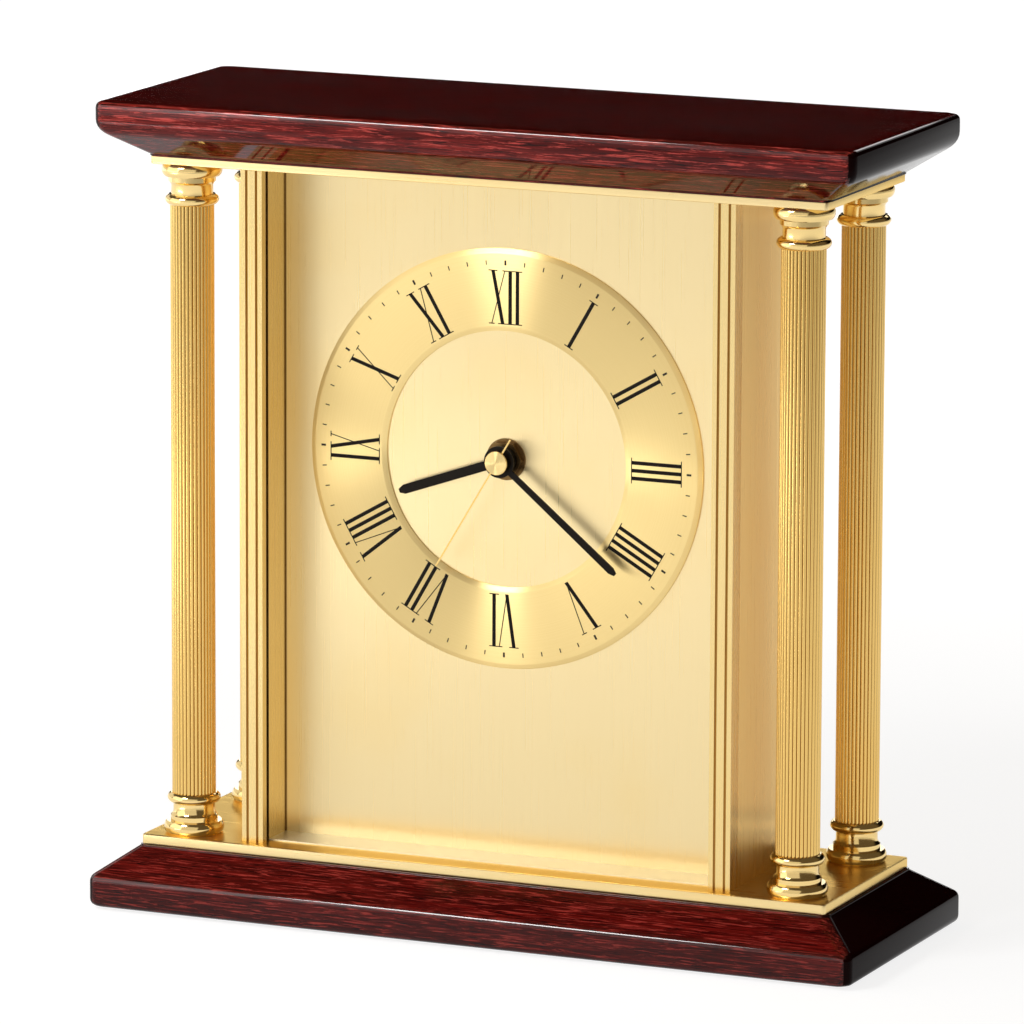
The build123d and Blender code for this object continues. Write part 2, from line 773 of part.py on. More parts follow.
# Motor: a two-armed stator round the rotor, and a coil whose core lies across the arms
stator = bar(
    stator_left, stator_right, stator_front, stator_back, dial_z + stator_low, dial_z + stator_shoulder
)
for arm_left in (stator_left, stator_right - stator_arm_width):
    stator += bar(
        arm_left,
        arm_left + stator_arm_width,
        stator_front,
        stator_back,
        dial_z + stator_shoulder,
        dial_z + stator_top,
    )
pieces["stator"] = stator - arbor(rotor_magnet_radius + rotor_air_gap, stator_front, stator_back, rotor_place)
core_high = dial_z + stator_top
core_low = core_high - coil_core_height
core = bar(stator_left, stator_right, stator_back, stator_back + stator_thickness, core_low, core_high)
winding_left = stator_left + stator_arm_width + coil_end_gap
winding_right = stator_right - stator_arm_width - coil_end_gap
winding_plane = Plane(
    origin=(winding_left, stator_back + stator_thickness / 2, (core_low + core_high) / 2),
    x_dir=(0, 1, 0),
    z_dir=(1, 0, 0),
)
pieces["coil"] = core + extrude(winding_plane * Circle(coil_radius), winding_right - winding_left)

# Circuit board on the rear wall, with its crystal
board_right = hollow_half - works_margin
board_left = board_right - board_width
board_high = dial_z + hollow_half - works_margin
board_low = board_high - board_height
board_front = rear_wall_front - board_thickness
pieces["circuit_board"] = bar(board_left, board_right, board_front, rear_wall_front, board_low, board_high)
crystal_plane = Plane(
    origin=((board_left + board_right - crystal_length) / 2, board_front - crystal_radius, (board_low + board_high) / 2),
    x_dir=(0, 1, 0),
    z_dir=(1, 0, 0),
)
pieces["crystal"] = extrude(crystal_plane * Circle(crystal_radius), crystal_length)

# Cell in its bay, held between two folded contacts
cell_y = front_plate_back + cell_radius + slot_clearance
cell_plane = Plane(origin=(-cell_length / 2, cell_y, dial_z - cell_drop), x_dir=(0, 1, 0), z_dir=(1, 0, 0))
cell = extrude(cell_plane * Circle(cell_radius), cell_length - cell_nub_length)
pieces["cell"] = cell + extrude(cell_plane * Circle(cell_nub_radius), cell_length)


def contact(side):
    """A strip folded into a U between the cell's end and the bay's wall."""
    near = cell_length / 2
    far = hollow_half
    reach = contact_width / 2
    strip = bar(near, far, cell_y - reach, cell_y + reach, dial_z - cell_drop - reach, dial_z - cell_drop + reach)
    fold = bar(
        near + contact_thickness,
        far - contact_thickness,
        cell_y - reach + contact_thickness,
        cell_y + reach,
        dial_z - cell_drop - reach,
        dial_z - cell_drop + reach,
    )
    folded = strip - fold
    return folded if side > 0 else mirror(folded, Plane.YZ)


pieces["contact_positive"] = contact(1)
pieces["contact_negative"] = contact(-1)


def baton(length, root_width, tip_width, start):
    """A straight hand along +Y of its sketch with a blunt point."""
    shoulder = length - hand_point
    return make_face(
        Polyline(
            (-root_width / 2, start),
            (-tip_width / 2, shoulder),
            (-tip_width / 5, length),
            (tip_width / 5, length),
            (tip_width / 2, shoulder),
            (root_width / 2, start),
            close=True,
        )
    )


# Hands: baton blades and round hubs, pressed on the hour pipe, the minute arbor and the second arbor
minute_length = ring_inner_radius + minute_tip_over_ring
second_length = ring_inner_radius - second_tip_short_of_ring
hour_blade = Rot(0, 0, -hour_angle) * baton(hour_length, hour_width, hour_width, 0)
hour_outline = (hour_blade + Circle(hour_hub_radius)) - Circle(hour_pipe_radius + press_clearance)
pieces["hour_hand"] = facing(hour_outline, hour_front, hour_back, 0, dial_z)
minute_blade = Rot(0, 0, -minute_angle) * baton(minute_length, minute_root_width, minute_tip_width, 0)
minute_outline = (minute_blade + Circle(minute_hub_radius)) - Circle(minute_arbor_radius + press_clearance)
pieces["minute_hand"] = facing(minute_outline, minute_front, minute_back, 0, dial_z)
needle = Rot(0, 0, -second_angle) * Pos(0, (second_length - second_tail) / 2) * Rectangle(
    second_width, second_length + second_tail
)
second_hand = facing(needle, second_back - second_thickness, second_back, 0, dial_z)
second_hand += turned(
    [
        (0, second_back),
        (cap_radius, second_back),
        (cap_radius, cap_front + cap_cone),
        (0, cap_front),
    ],
    0,
    dial_z,
)
second_seat = arbor(
    second_arbor_radius + press_clearance, second_back - cap_thickness / 2, second_back, centre_place
)
pieces["second_hand"] = second_hand - second_seat

os.makedirs("parts", exist_ok=True)
for name, solid in pieces.items():
    export_step(solid, f"parts/{name}.step")
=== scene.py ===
import math

import bmesh
import bpy
from mathutils import Matrix, Vector


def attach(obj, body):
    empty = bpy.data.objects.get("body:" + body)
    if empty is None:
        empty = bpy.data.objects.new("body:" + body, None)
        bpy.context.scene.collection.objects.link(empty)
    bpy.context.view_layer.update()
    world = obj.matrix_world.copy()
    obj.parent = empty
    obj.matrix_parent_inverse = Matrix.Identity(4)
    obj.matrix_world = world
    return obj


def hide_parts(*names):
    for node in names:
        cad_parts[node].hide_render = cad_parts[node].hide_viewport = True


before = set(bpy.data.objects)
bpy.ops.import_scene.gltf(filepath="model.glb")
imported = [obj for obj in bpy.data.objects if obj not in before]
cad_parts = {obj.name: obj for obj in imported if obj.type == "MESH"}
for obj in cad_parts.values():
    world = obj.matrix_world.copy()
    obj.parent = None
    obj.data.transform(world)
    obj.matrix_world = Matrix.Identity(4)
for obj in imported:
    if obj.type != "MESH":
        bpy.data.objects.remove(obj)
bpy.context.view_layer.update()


# Felt pads. Four discs punched from dark green wool felt and glued under the base below the columns,
# so that the wood does not scratch the table.
mm = 0.001


def add_node(tree, kind, settings=None, **inputs):
    """Adds one node: settings are its own options, inputs are values or sockets by name, or i0, i1 by place."""
    node = tree.nodes.new(kind)
    for option, value in (settings or {}).items():
        setattr(node, option, value)
    for name, value in inputs.items():
        by_place = name[0] == "i" and name[1:].isdigit()
        socket = node.inputs[int(name[1:])] if by_place else node.inputs[name.replace("_", " ")]
        if isinstance(value, bpy.types.NodeSocket):
            tree.links.new(value, socket)
        else:
            socket.default_value = value
    return node


def new_group(kind, name, inputs, outputs):
    """A node group; returns it, the sockets that give its inputs' values and those that take its results."""
    group = bpy.data.node_groups.new(name, kind)
    for way, sockets in (("INPUT", inputs), ("OUTPUT", outputs)):
        for label, sort in sockets.items():
            group.interface.new_socket(label, in_out=way, socket_type="NodeSocket" + sort)
    return group, group.nodes.new("NodeGroupInput").outputs, group.nodes.new("NodeGroupOutput").inputs


def place_group(tree, group, **inputs):
    """Sets a shared effect into a tree with its own values, and returns what it puts out."""
    return add_node(tree, "ShaderNodeGroup", {"node_tree": group}, **inputs).outputs


def new_material(name, **constants):
    """A material whose shader keeps these values all over the surface."""
    material = bpy.data.materials.new(name)
    material.use_nodes = True
    shader = material.node_tree.nodes["Principled BSDF"]
    for socket, value in constants.items():
        shader.inputs[socket.replace("_", " ")].default_value = value
    return material, material.node_tree, shader


def spread_over(tree, value, low, high, to_low=0.0, to_high=1.0):
    """The part of a value between low and high, drawn out to a new span with soft ends."""
    settings = {"interpolation_type": "SMOOTHSTEP"}
    return add_node(
        tree, "ShaderNodeMapRange", settings, Value=value, From_Min=low, From_Max=high, To_Min=to_low, To_Max=to_high
    ).outputs[0]


def mixed_colour(tree, share, first, second, blend="MIX"):
    settings = {"data_type": "RGBA", "blend_type": blend}
    return add_node(tree, "ShaderNodeMix", settings, i0=share, i6=first, i7=second).outputs[2]


marks_group, given, results = new_group(
    "ShaderNodeTree", "stretched marks",
    {"Stretch": "Vector", "Detail": "Float", "Roughness": "Float", "Distortion": "Float"}, {"Marks": "Float"},
)
place = add_node(marks_group, "ShaderNodeTexCoord").outputs["Object"]
stretched = add_node(marks_group, "ShaderNodeMapping", Vector=place, Scale=given["Stretch"]).outputs[0]
noise = add_node(
    marks_group, "ShaderNodeTexNoise", Vector=stretched, Scale=1.0, Detail=given["Detail"],
    Roughness=given["Roughness"], Distortion=given["Distortion"],
)
marks_group.links.new(noise.outputs["Fac"], results["Marks"])


def stretched_marks(tree, stretch, detail=4.0, roughness=0.5, distortion=0.0):
    """Marks fixed to the piece, with this many changes to the metre along each axis."""
    return place_group(
        tree, marks_group, Stretch=stretch, Detail=detail, Roughness=roughness, Distortion=distortion
    )["Marks"]


mottle_group, given, results = new_group(
    "ShaderNodeTree", "fine mottle",
    {
        "Stretch": "Vector", "Detail": "Float", "Coarseness": "Float", "Dark": "Color", "Light": "Color",
        "Least Roughness": "Float", "Most Roughness": "Float",
    },
    {"Colour": "Color", "Roughness": "Float", "Marks": "Float"},
)
marks = stretched_marks(mottle_group, given["Stretch"], given["Detail"], given["Coarseness"])
mottle_group.links.new(mixed_colour(mottle_group, marks, given["Dark"], given["Light"]), results["Colour"])
mottle_group.links.new(
    spread_over(mottle_group, marks, 0.3, 0.7, given["Least Roughness"], given["Most Roughness"]),
    results["Roughness"],
)
mottle_group.links.new(marks, results["Marks"])


def raise_marks(tree, shader, marks, strength, height):
    """Lets marks stand up from the surface."""
    bump = add_node(tree, "ShaderNodeBump", Strength=strength, Distance=height * mm, Height=marks)
    tree.links.new(bump.outputs[0], shader.inputs["Normal"])


def mottled(name, dark, light, stretch, detail, rough_span=None, coarseness=0.5, bump=None, **constants):
    """A material that runs in a fine mottle between two tones and, given a span, between two roughnesses."""
    material, tree, shader = new_material(name, **constants)
    least, most = rough_span or (0.0, 1.0)
    mottle = place_group(
        tree, mottle_group, Stretch=stretch, Detail=detail, Coarseness=coarseness, Dark=dark + (1,),
        Light=light + (1,), Least_Roughness=least, Most_Roughness=most,
    )
    tree.links.new(mottle["Colour"], shader.inputs["Base Color"])
    if rough_span:
        tree.links.new(mottle["Roughness"], shader.inputs["Roughness"])
    if bump:
        raise_marks(tree, shader, mottle["Marks"], *bump)
    return material


def dress(material, *nodes):
    """Gives pieces carried over from the construction their finish."""
    for node in nodes:
        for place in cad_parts[node].material_slots:
            place.material = material


felt = mottled(
    "wool felt", (0.012, 0.022, 0.013), (0.05, 0.075, 0.05), (2600, 2600, 2600), 6, bump=(0.6, 0.3),
    Roughness=0.95, Sheen_Weight=0.4,
)
dress(felt, "foot_pads")


# Base and crown. Two blocks of dark red rosewood, moulded along one edge and finished with clear lacquer:
# the grain runs along their length, and the lacquer has softened every edge.
def eased(points, radii, steps=5):
    """An open outline with its corners rounded."""
    outline = [Vector(points[0])]
    for before, corner, after, radius in zip(points, points[1:], points[2:], radii):
        before, corner, after = Vector(before), Vector(corner), Vector(after)
        inward = (before - corner).normalized()
        onward = (after - corner).normalized()
        reach = radius / math.tan(inward.angle(onward) / 2)
        start = corner + inward * reach
        end = corner + onward * reach
        for step in range(steps + 1):
            share = step / steps
            outline.append(start * (1 - share) ** 2 + corner * 2 * share * (1 - share) + end * share ** 2)
    outline.append(Vector(points[-1]))
    return outline


def block_ring(shape, half_width, half_depth, corner, height, steps=6):
    """One level ring of a block with rounded corners."""
    ring = []
    for quarter, (x, y) in enumerate(((1, 1), (-1, 1), (-1, -1), (1, -1))):
        for step in range(steps + 1):
            angle = (quarter + step / steps) * math.pi / 2
            px = x * (half_width - corner) + corner * math.cos(angle)
            py = y * (half_depth - corner) + corner * math.sin(angle)
            ring.append(shape.verts.new((px * mm, py * mm, height * mm)))
    return ring


def moulded_block(width, depth, corner, profile):
    """A block whose edge follows a profile of (setback, height) from the bottom to the top."""
    shape = bmesh.new()
    rings = [
        block_ring(shape, width / 2 - setback, depth / 2 - setback, corner, height)
        for setback, height in profile
    ]
    for lower, upper in zip(rings, rings[1:]):
        for k in range(len(lower)):
            n = (k + 1) % len(lower)
            shape.faces.new((lower[k], lower[n], upper[n], upper[k]))
    shape.faces.new(rings[0][::-1])
    shape.faces.new(rings[-1])
    return shape


def set_up(name, data):
    """Puts a new object with this data into the scene."""
    thing = bpy.data.objects.new(name, data)
    bpy.context.scene.collection.objects.link(thing)
    return thing


def add_piece(name, shape, material, slot, body, *stands_for, crisp=32):
    """Turns a shape into a finished piece: faces outward, edges crisp where they turn sharply."""
    bmesh.ops.remove_doubles(shape, verts=shape.verts, dist=0.001 * mm)
    bmesh.ops.recalc_face_normals(shape, faces=shape.faces)
    mesh = bpy.data.meshes.new(name)
    shape.to_mesh(mesh)
    shape.free()
    mesh.shade_smooth()
    mesh.set_sharp_from_angle(angle=math.radians(crisp))
    mesh.materials.append(material)
    piece = set_up(name, mesh)
    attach(piece, body)
    if stands_for:
        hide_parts(*stands_for)
    return piece


def worked(tree, operation, first, second=0.0, third=0.0):
    return add_node(tree, "ShaderNodeMath", {"operation": operation}, i0=first, i1=second, i2=third).outputs[0]


wood_group, given, results = new_group(
    "ShaderNodeTree", "rosewood figure and painted shade",
    {"Dark Band": "Color", "Light Band": "Color", "Streak": "Color", "Pore": "Color", "Fleck": "Color", "End": "Color"},
    {"Colour": "Color", "Roughness": "Float", "Ripple": "Float"},
)
figure = stretched_marks(wood_group, (9, 170, 170), roughness=0.6, distortion=0.5)
streaks = stretched_marks(wood_group, (50, 2100, 2100), detail=5, roughness=0.7)
pores = stretched_marks(wood_group, (130, 3000, 3000), detail=2)
flecks = stretched_marks(wood_group, (100, 1700, 1700), roughness=0.65, distortion=0.7)
banded = mixed_colour(wood_group, spread_over(wood_group, figure, 0.36, 0.66), given["Dark Band"], given["Light Band"])
streaked = mixed_colour(wood_group, spread_over(wood_group, streaks, 0.36, 0.66), given["Streak"], banded)
porous = mixed_colour(wood_group, spread_over(wood_group, pores, 0.56, 0.66), streaked, given["Pore"])
flecked = mixed_colour(wood_group, spread_over(wood_group, flecks, 0.52, 0.65), porous, given["Fleck"])

# the base, low by the table, is darkened all over as painted shade
place = add_node(wood_group, "ShaderNodeTexCoord").outputs["Object"]
level = add_node(wood_group, "ShaderNodeSeparateXYZ", Vector=place).outputs["Z"]
base_painted_shade = mixed_colour(wood_group, 1.0, flecked, (0.56, 0.48, 0.46, 1), "MULTIPLY")
with_base_shade = mixed_colour(wood_group, spread_over(wood_group, level, 0.1, 0.2), base_painted_shade, flecked)

# painted shade darkens the upper faces; the ends go near black, darker end-grain wood deepened by painted shade
facing = add_node(wood_group, "ShaderNodeNewGeometry").outputs["Normal"]
turned_to = add_node(wood_group, "ShaderNodeSeparateXYZ", Vector=facing).outputs
painted_top_shade = mixed_colour(wood_group, 1.0, with_base_shade, (0.4, 0.08, 0.08, 1), "MULTIPLY")
with_top_shade = mixed_colour(wood_group, spread_over(wood_group, turned_to["Z"], 0.93, 0.99), with_base_shade, painted_top_shade)
end_grain_and_shade = spread_over(wood_group, worked(wood_group, "ABSOLUTE", turned_to["X"]), 0.35, 0.6)
wood_group.links.new(mixed_colour(wood_group, end_grain_and_shade, with_top_shade, given["End"]), results["Colour"])
wood_group.links.new(spread_over(wood_group, figure, 0.3, 0.7, 0.10, 0.06), results["Roughness"])
wood_group.links.new(stretched_marks(wood_group, (20, 60, 60), detail=2), results["Ripple"])


def finish_with(tree, shader, finish):
    """Joins the colour and the roughness of a shared effect to a shader."""
    tree.links.new(finish["Colour"], shader.inputs["Base Color"])
    tree.links.new(finish["Roughness"], shader.inputs["Roughness"])


def lacquered_wood(name, gloss):
    material, tree, shader = new_material(name, Specular_IOR_Level=gloss)
    # the End tone: darker end-grain wood deepened to near black as painted shade
    wood = place_group(
        tree, wood_group, Dark_Band=(0.10, 0.004, 0.003, 1), Light_Band=(0.36, 0.020, 0.015, 1),
        Streak=(0.085, 0.004, 0.003, 1), Pore=(0.025, 0.002, 0.002, 1), Fleck=(0.64, 0.075, 0.06, 1),
        End=(0.012, 0.001, 0.001, 1),
    )
    finish_with(tree, shader, wood)
    raise_marks(tree, shader, wood["Ripple"], 0.06, 0.4)
    return material


rosewood = lacquered_wood("lacquered rosewood", 0.19)
edge_wood = lacquered_wood("rubbed edge", 0.6)
# end faces: darker end-grain wood deepened to near black as painted shade
shaded_end_wood = mottled(
    "end grain and painted shade", (0.009, 0.0008, 0.0008), (0.017, 0.0015, 0.0012), (900, 1400, 1400), 4, (0.07, 0.12), coarseness=0.6,
    Specular_IOR_Level=0.03,
)
end_turn, edge_height, edge_tilt = 0.5, 0.8, 0.1


def finish_block(piece):
    """Gives the ends of a block a near-black, duller finish, darker end-grain wood deepened by painted shade, and its
    rounded upper edges their full gloss.
    """
    piece.data.materials.append(shaded_end_wood)
    piece.data.materials.append(edge_wood)
    for face in piece.data.polygons:
        heights = [piece.data.vertices[k].co.z for k in face.vertices]
        if abs(face.normal.x) > end_turn:
            face.material_index = 1
        elif 0 < max(heights) - min(heights) < edge_height * mm and face.normal.z > edge_tilt:
            face.material_index = 2


block_corner = 3.4
base_edge = (4, 0.8), (0, 0.8), (0, 9.8), (11.4, 18.1), (11.4, 18.6), (12.8, 18.6)
crown_edge = (13.2, 225.2), (11.9, 225.2), (11.9, 225.7), (0, 233.7), (0, 242.1), (4, 242.1)
for name, width, depth, edge, radii in (
    ("base", 243, 92, base_edge, (2.4, 2.8, 0.25, 0.2)), ("crown", 238.6, 87.6, crown_edge, (0.2, 0.25, 6.0, 2.0))
):
    block = moulded_block(width, depth, block_corner, eased(edge, radii))
    finish_block(add_piece(name, block, rosewood, "rosewood", "clock", name + "_block"))


# Plates. Two sheets of brass, one on the base and one under the crown, clamped there by the tie bolts: sawn to a
# rectangle and polished, with the sharp edge just taken off. Columns and uprights stand between them.
brass_group, given, results = new_group(
    "ShaderNodeTree", "worked brass",
    {"Tone": "Color", "Stretch": "Vector", "Least Roughness": "Float", "Most Roughness": "Float"},
    {"Colour": "Color", "Roughness": "Float", "Marks": "Float"},
)
marks = stretched_marks(brass_group, given["Stretch"], detail=5, roughness=0.6)
stain = stretched_marks(brass_group, (21, 21, 21), detail=3)
rubbed = mixed_colour(brass_group, 1.0, given["Tone"], (0.96, 0.96, 0.96, 1), "MULTIPLY")
warm = mixed_colour(brass_group, 1.0, given["Tone"], (0.98, 0.95, 0.88, 1), "MULTIPLY")
fine = mixed_colour(brass_group, marks, rubbed, given["Tone"])
brass_group.links.new(
    mixed_colour(brass_group, spread_over(brass_group, stain, 0.45, 0.75), fine, warm), results["Colour"]
)
brass_group.links.new(
    spread_over(brass_group, marks, 0.25, 0.75, given["Least Roughness"], given["Most Roughness"]),
    results["Roughness"],
)
brass_group.links.new(marks, results["Marks"])


def brass(name, tone, rough_span, stretch, depth, **constants):
    """Brass with the marks of its finish: its tone, the span of its roughness, and the marks' spread and depth."""
    material, tree, shader = new_material(name, Metallic=1.0, **constants)
    least, most = rough_span
    finish = place_group(
        tree, brass_group, Tone=tone + (1,), Stretch=stretch, Least_Roughness=least, Most_Roughness=most
    )
    finish_with(tree, shader, finish)
    raise_marks(tree, shader, finish["Marks"], depth, 0.05)
    return material


satin_brass = brass(
    "satin brass", (0.92, 0.72, 0.36), (0.26, 0.34), (40, 900, 900), 0.008, Specular_Tint=(0.93, 0.74, 0.42, 1)
)
plate_corner, plate_easing = 1.2, 0.35
for name, width, depth, low, high in (("lower", 218.2, 67.2, 18.6, 21.6), ("upper", 213.2, 62.2, 222.8, 225.2)):
    profile = eased(((1, low), (0, low), (0, high), (1, high)), (plate_easing, plate_easing), steps=3)
    plate = moulded_block(width, depth, plate_corner, profile)
    add_piece(name + ".plate", plate, satin_brass, "polished_brass", "clock", name + "_plate")


# Column turnings. Eight short brass turnings, the capitals the same as the bases turned over: a round torus,
# a collar, a neck with a flare and a bead, with a spigot that fits the bore of the shaft.
column_x, column_y = 96.6, 23.5
column_places = [(x, y) for y in (-column_y, column_y) for x in (-column_x, column_x)]


def turn_up(shape, profile, centre, axis="Z", segments=96):
    """Adds a turned solid to a shape: the profile is (radius, distance along the axis)."""
    rings = []
    for radius, along in profile:
        ring = []
        for k in range(1 if radius == 0 else segments):
            angle = 2 * math.pi * k / segments
            across = (radius * math.cos(angle), radius * math.sin(angle))
            if axis == "Z":
                place = Vector((across[0], across[1], along))
            else:
                place = Vector((across[0], along, across[1]))
            ring.append(shape.verts.new((place + Vector(centre)) * mm))
        rings.append(ring)
    for lower, upper in zip(rings, rings[1:]):
        for k in range(segments):
            n = (k + 1) % segments
            corners = [lower[k % len(lower)], lower[n % len(lower)], upper[n % len(upper)], upper[k % len(upper)]]
            shape.faces.new(list(dict.fromkeys(corners)))


def bulge(seat, crest, low, high, steps=10, fullness=0.72):
    """A rounded moulding between two heights, flatter than a half circle along its crest."""
    return [
        (seat + (crest - seat) * math.sin(math.pi * k / steps) ** fullness, low + (high - low) * k / steps)
        for k in range(steps + 1)
    ]


polished_brass = brass("polished brass", (0.90, 0.67, 0.29), (0.10, 0.15), (260, 260, 260), 0.03)
turning = [(0, 0)]
turning += bulge(8.2, 8.95, 0, 3.7)
turning += [(7.0, 3.7), (7.0, 5.3), (6.75, 5.55), (6.45, 5.95), (6.2, 6.4), (6.2, 9.2)]
turning += bulge(6.9, 7.95, 9.2, 12.2)
turning += [(4.75, 12.2), (4.75, 16.2), (0, 16.2)]
for node, start, direction in (("column_bases", 21.6, 1), ("column_capitals", 222.8, -1)):
    turnings = bmesh.new()
    for x, y in column_places:
        turn_up(turnings, [(r, start + direction * h) for r, h in turning], (x, y, 0))
    add_piece(node.replace("_", "."), turnings, polished_brass, "polished_brass", "clock", node)


# Column shafts. Four lengths of drawn brass tube with thirty-four rounded reeds, held between the turnings
# by the bolt that runs down the middle.
def grown_mesh(name, tree, values):
    """The plain mesh that a geometry tree makes from these values."""
    holder = set_up(name, bpy.data.meshes.new(name + ".start"))
    grower = holder.modifiers.new("grow", "NODES")
    grower.node_group = tree
    for socket in tree.interface.items_tree:
        if socket.in_out == "INPUT":
            grower[socket.identifier] = values[socket.name]
    graph = bpy.context.evaluated_depsgraph_get()
    mesh = bpy.data.meshes.new_from_object(holder.evaluated_get(graph))
    bpy.data.objects.remove(holder)
    return mesh


def add_grown(name, mesh, material, slot, body, *stands_for, crisp=32):
    shape = bmesh.new()
    shape.from_mesh(mesh)
    return add_piece(name, shape, material, slot, body, *stands_for, crisp=crisp)


reeding, given, results = new_group(
    "GeometryNodeTree", "reeded shaft",
    {
        "Reeds": "Int", "Steps": "Int", "Radius": "Float", "Depth": "Float", "Foot": "Vector", "Head": "Vector",
        "Finish": "Material",
    },
    {"Geometry": "Geometry"},
)
points = worked(reeding, "MULTIPLY", given["Reeds"], given["Steps"])
circle = add_node(reeding, "GeometryNodeCurvePrimitiveCircle", Resolution=points, Radius=given["Radius"])
index = add_node(reeding, "GeometryNodeInputIndex").outputs[0]
part = worked(reeding, "FRACT", worked(reeding, "DIVIDE", index, given["Steps"]))
swing = worked(reeding, "MULTIPLY_ADD", part, 2.0, -1.0)
rise_squared = worked(reeding, "SUBTRACT", 1.0, worked(reeding, "MULTIPLY", swing, swing))
drop = worked(reeding, "SUBTRACT", 1.0, worked(reeding, "SQRT", rise_squared))
inset = worked(reeding, "DIVIDE", worked(reeding, "MULTIPLY", drop, given["Depth"]), given["Radius"])
position = add_node(reeding, "GeometryNodeInputPosition").outputs[0]
shrunk = worked(reeding, "SUBTRACT", 1.0, inset)
scaled = add_node(reeding, "ShaderNodeVectorMath", {"operation": "SCALE"}, Vector=position, Scale=shrunk)
noted = add_node(
    reeding, "GeometryNodeStoreNamedAttribute", {"data_type": "FLOAT", "domain": "POINT"},
    Geometry=circle.outputs["Curve"], Name="hollow", Value=drop,
)
scalloped = add_node(reeding, "GeometryNodeSetPosition", Geometry=noted.outputs[0], Position=scaled.outputs[0])
middle = add_node(reeding, "GeometryNodeCurvePrimitiveLine", Start=given["Foot"], End=given["Head"])
drawn = add_node(
    reeding, "GeometryNodeCurveToMesh", Curve=middle.outputs[0], Profile_Curve=scalloped.outputs[0], Fill_Caps=True
)
whole = add_node(reeding, "GeometryNodeRealizeInstances", Geometry=drawn.outputs[0])
coated = add_node(reeding, "GeometryNodeSetMaterial", Geometry=whole.outputs[0], Material=given["Finish"])
reeding.links.new(coated.outputs[0], results["Geometry"])


def paint_shade_into(material, share, tone):
    """Paints shade into a brass: darkens it to this tone where the share, a value in its own tree, rises to one."""
    tree = material.node_tree
    colour = tree.nodes["Principled BSDF"].inputs["Base Color"]
    tree.links.new(mixed_colour(tree, share, colour.links[0].from_socket, tone + (1,)), colour)


# painted shade darkens the hollows between the reeds
drawn_brass = brass("drawn brass", (0.83, 0.555, 0.178), (0.14, 0.24), (900, 900, 30), 0.06)
tree = drawn_brass.node_tree
hollow = add_node(tree, "ShaderNodeAttribute", {"attribute_name": "hollow"}).outputs["Fac"]
paint_shade_into(drawn_brass, spread_over(tree, hollow, 0.25, 1.0), (0.34, 0.17, 0.045))

shaft_foot, shaft_head = 33.8, 210.6
for (x, y), corner in zip(column_places, ("front_left", "front_right", "rear_left", "rear_right")):
    values = {
        "Reeds": 34, "Steps": 6, "Radius": 6.5 * mm, "Depth": 0.36 * mm, "Foot": (x * mm, y * mm, shaft_foot * mm),
        "Head": (x * mm, y * mm, shaft_head * mm), "Finish": drawn_brass,
    }
    shaft = grown_mesh("shaft", reeding, values)
    add_grown("shaft." + corner, shaft, drawn_brass, "polished_brass", "clock", "column_shaft_" + corner, crisp=50)


# Tie bolts. Four long zinc-plated steel bolts with hexagon heads, put in from under the base, up through the
# columns and screwed into the crown, which hold the whole clock together.
zinc = mottled(
    "zinc plate", (0.42, 0.42, 0.41), (0.66, 0.66, 0.63), (700, 700, 700), 3, (0.28, 0.45), Metallic=1.0
)
dress(zinc, "tie_bolts")


# Case uprights and sill. Two grooved brass sections frame the dial in front, two plain ones carry the back, and
# a thin strip of brass covers the floor of the recess; all are polished, with painted shade in the grooves and a
# painted reflection, near white, on the sill.
def side_distance(tree):
    """How far a point lies to the left or the right of the clock's middle."""
    place = add_node(tree, "ShaderNodeTexCoord").outputs["Object"]
    return worked(tree, "ABSOLUTE", add_node(tree, "ShaderNodeSeparateXYZ", Vector=place).outputs["X"])


upright_middle, groove_offset = 74.6, 1.575
groove_dark, groove_edge = 0.34, 0.5
upright_brass = brass("drawn section", (0.86, 0.65, 0.29), (0.22, 0.30), (1900, 1900, 25), 0.012)
tree = upright_brass.node_tree
# painted shade darkens the grooves of the front uprights
from_middle = worked(tree, "ABSOLUTE", worked(tree, "SUBTRACT", side_distance(tree), upright_middle * mm))
from_groove = worked(tree, "ABSOLUTE", worked(tree, "SUBTRACT", from_middle, groove_offset * mm))
in_groove = spread_over(tree, from_groove, groove_dark * mm, groove_edge * mm, 1.0, 0.0)
paint_shade_into(upright_brass, in_groove, (0.56, 0.36, 0.12))
dress(upright_brass, "front_upright_left", "front_upright_right", "rear_upright_left", "rear_upright_right")
# the sill's near-white tone is a painted reflection of the bright dial
sill_painted_reflection = brass("sill strip with painted reflection", (0.98, 0.95, 0.85), (0.46, 0.54), (40, 900, 900), 0.006)
dress(sill_painted_reflection, "sill_plate")


# Side panels and dial plate. Brass sheet a millimetre thick, brushed up and down and lacquered, slid into the
# grooves of the uprights; painted shade darkens the dial's upright edges where they meet the grooves.
corner_start, corner_dark = 70.5, 71.1
dial_brass = brass("brushed dial", (0.86, 0.69, 0.375), (0.265, 0.335), (3200, 3200, 16), 0.018, Anisotropic=0.7)
tree = dial_brass.node_tree
# painted shade: a thin dark band along the dial's upright edges
in_corner = spread_over(tree, side_distance(tree), corner_start * mm, corner_dark * mm)
paint_shade_into(dial_brass, in_corner, (0.12, 0.065, 0.02))
dress(dial_brass, "dial_plate")
panel_brass = brass("brushed panel", (0.92, 0.65, 0.24), (0.26, 0.34), (2600, 2600, 14), 0.04, Anisotropic=0.7)
dress(panel_brass, "side_panel_left", "side_panel_right")


